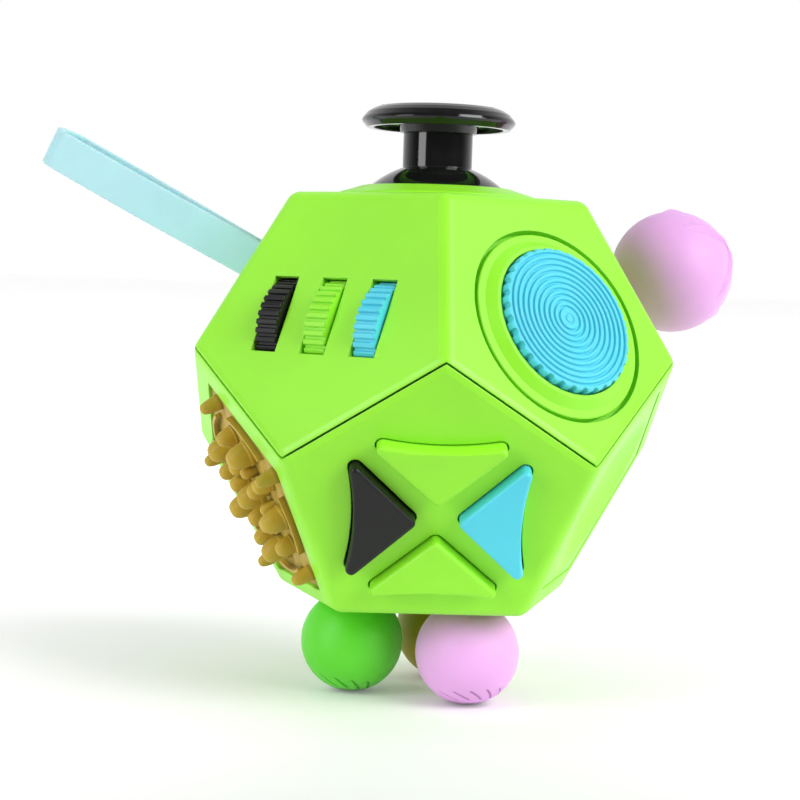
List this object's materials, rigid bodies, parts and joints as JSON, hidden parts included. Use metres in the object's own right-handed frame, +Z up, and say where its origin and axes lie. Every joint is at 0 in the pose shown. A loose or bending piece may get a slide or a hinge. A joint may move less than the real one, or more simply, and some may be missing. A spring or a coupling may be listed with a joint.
{
  "type": "fidget cube",
  "caption": "Hand-sized twelve-sided fidget toy with a joystick, rollers, dial, arrow keys, studded pad, soft ball, pull strap and a ball spinner on its faces.",
  "frame": {"origin": "the point on the desk under the middle of the body, where the axis shared by the joystick and the ball spinner meets the desk; the toy stands on its three spinner balls", "axes": "+Z up, from the spinner through the body to the joystick; -Y towards the face with the arrow keys; +X towards the side with the soft ball"},
  "size_m": [0.0911, 0.0608, 0.0736],
  "materials": {
    "lime_plastic": "satin",
    "black_gloss": "glossy",
    "black_satin": "satin",
    "cyan_plastic": "satin",
    "yellow_silicone": "soft matte",
    "pink_silicone": "soft matte",
    "green_silicone": "soft matte",
    "mint_silicone": "soft matte",
    "milky_silicone": "soft matte",
    "white_plastic": "satin",
    "dark_plastic": "matte",
    "steel": "satin"
  },
  "bodies": {
    "body": {"upper_shell": "lime_plastic", "lower_shell": "lime_plastic", "shell_screws": "steel", "joystick_bezel": "lime_plastic", "joystick_base": "dark_plastic", "joystick_base_screws": "steel", "joystick_spring": "steel", "roller_axle": "steel", "roller_cradle": "white_plastic", "roller_cradle_screws": "steel", "dial_bezel": "lime_plastic", "key_membrane": "milky_silicone", "key_backplate": "white_plastic", "key_screws": "steel", "massage_pad": "yellow_silicone", "massage_pad_retainer": "white_plastic", "worry_panel": "lime_plastic", "punch_ball_collar": "lime_plastic", "punch_ball_retainer": "white_plastic", "number_axle": "steel", "number_cradle": "white_plastic", "number_cradle_screws": "steel", "strap_pin": "steel", "strap_anchor": "white_plastic", "strap_anchor_screws": "steel", "rocker_bezel": "black_satin", "rocker_pin": "steel", "spinner_washer": "steel", "spinner_shoulder_screw": "steel"},
    "gimbal": {"joystick_gimbal_ring": "white_plastic", "joystick_trunnions": "steel"},
    "stick": {"joystick_stick": "black_gloss", "joystick_cap": "black_gloss", "joystick_inlay": "lime_plastic", "joystick_cross_pin": "steel"},
    "black_roller": {"roller_black": "black_satin"},
    "green_roller": {"roller_green": "lime_plastic"},
    "cyan_roller": {"roller_cyan": "cyan_plastic"},
    "dial": {"dial_disc": "cyan_plastic", "dial_washer": "steel", "dial_screw": "steel"},
    "up_key": {"key_up": "lime_plastic"},
    "down_key": {"key_down": "lime_plastic"},
    "left_key": {"key_left": "black_satin"},
    "right_key": {"key_right": "cyan_plastic"},
    "punch_neck": {"punch_ball_neck": "pink_silicone"},
    "punch_ball": {"punch_ball": "pink_silicone"},
    "left_number": {"number_wheel_left": "white_plastic"},
    "middle_number": {"number_wheel_middle": "white_plastic"},
    "right_number": {"number_wheel_right": "white_plastic"},
    "strap": {"pull_strap": "mint_silicone"},
    "slider": {"slider_knob": "cyan_plastic", "slider_shoe": "white_plastic", "slider_shoe_screw": "steel"},
    "rocker": {"rocker_cap": "white_plastic"},
    "spinner": {"spinner_plate": "lime_plastic", "spinner_ball_green": "green_silicone", "spinner_ball_pink": "pink_silicone", "spinner_ball_yellow": "yellow_silicone"}
  },
  "joints": [
    {"name": "joystick_tilt_back_front", "type": "hinge", "parent": "body", "child": "gimbal", "pos_m": [0, 0, 0.0542], "axis": [1, 0, 0], "range_deg": [-15, 15], "stiffness_Nm_per_rad": 0.02, "deforming": ["joystick_spring"]},
    {"name": "joystick_tilt_left_right", "type": "hinge", "parent": "gimbal", "child": "stick", "pos_m": [0, 0, 0.0542], "axis": [0, 1, 0], "range_deg": [-15, 15], "stiffness_Nm_per_rad": 0.02, "deforming": ["joystick_spring"]},
    {"name": "black_roller_spin", "type": "hinge", "parent": "body", "child": "black_roller", "pos_m": [-0.0166, -0.01038, 0.04526], "axis": [0.809, -0.5878, 0], "continuous": true},
    {"name": "green_roller_spin", "type": "hinge", "parent": "body", "child": "green_roller", "pos_m": [-0.01094, -0.0145, 0.04526], "axis": [0.809, -0.5878, 0], "continuous": true},
    {"name": "cyan_roller_spin", "type": "hinge", "parent": "body", "child": "cyan_roller", "pos_m": [-0.00528, -0.01861, 0.04526], "axis": [0.809, -0.5878, 0], "continuous": true},
    {"name": "dial_spin", "type": "hinge", "parent": "body", "child": "dial", "pos_m": [0.01374, -0.01836, 0.04734], "axis": [0.5257, -0.7236, 0.4472], "continuous": true},
    {"name": "up_key_press", "type": "slide", "parent": "body", "child": "up_key", "axis": [0, 0.8944, 0.4472], "range_m": [0, 0.0009], "stiffness_N_per_m": 300, "deforming": ["key_membrane"]},
    {"name": "down_key_press", "type": "slide", "parent": "body", "child": "down_key", "axis": [0, 0.8944, 0.4472], "range_m": [0, 0.0009], "stiffness_N_per_m": 300, "deforming": ["key_membrane"]},
    {"name": "left_key_press", "type": "slide", "parent": "body", "child": "left_key", "axis": [0, 0.8944, 0.4472], "range_m": [0, 0.0009], "stiffness_N_per_m": 300, "deforming": ["key_membrane"]},
    {"name": "right_key_press", "type": "slide", "parent": "body", "child": "right_key", "axis": [0, 0.8944, 0.4472], "range_m": [0, 0.0009], "stiffness_N_per_m": 300, "deforming": ["key_membrane"]},
    {"name": "punch_ball_tilt", "type": "hinge", "parent": "body", "child": "punch_neck", "pos_m": [0.01991, 0.00647, 0.04776], "axis": [-0.309, 0.9511, 0], "range_deg": [-18, 18], "stiffness_Nm_per_rad": 0.03},
    {"name": "punch_ball_twist", "type": "hinge", "parent": "punch_neck", "child": "punch_ball", "pos_m": [0.0319, 0.01036, 0.05407], "axis": [0.8507, 0.2764, 0.4472], "continuous": true},
    {"name": "left_number_spin", "type": "hinge", "parent": "body", "child": "left_number", "pos_m": [0.0048, 0.01843, 0.04651], "axis": [-1, 0, 0], "continuous": true},
    {"name": "middle_number_spin", "type": "hinge", "parent": "body", "child": "middle_number", "pos_m": [0, 0.01843, 0.04651], "axis": [-1, 0, 0], "continuous": true},
    {"name": "right_number_spin", "type": "hinge", "parent": "body", "child": "right_number", "pos_m": [-0.0048, 0.01843, 0.04651], "axis": [-1, 0, 0], "continuous": true},
    {"name": "strap_swing", "type": "hinge", "parent": "body", "child": "strap", "pos_m": [-0.01625, 0.00528, 0.05054], "axis": [0.4253, -0.1382, 0.8944], "range_deg": [-18, 18], "stiffness_Nm_per_rad": 0.01},
    {"name": "slider_slide", "type": "slide", "parent": "body", "child": "slider", "axis": [-0.809, 0.5878, 0], "range_m": [-0.0033, 0.0033]},
    {"name": "rocker_flip", "type": "hinge", "parent": "body", "child": "rocker", "pos_m": [-0.01241, 0.01708, 0.02675], "axis": [-0.2629, 0.3618, 0.8944], "range_deg": [0, 20]},
    {"name": "spinner_spin", "type": "hinge", "parent": "body", "child": "spinner", "pos_m": [0, 0, 0.0123], "axis": [0, 0, 1], "continuous": true}
  ]
}
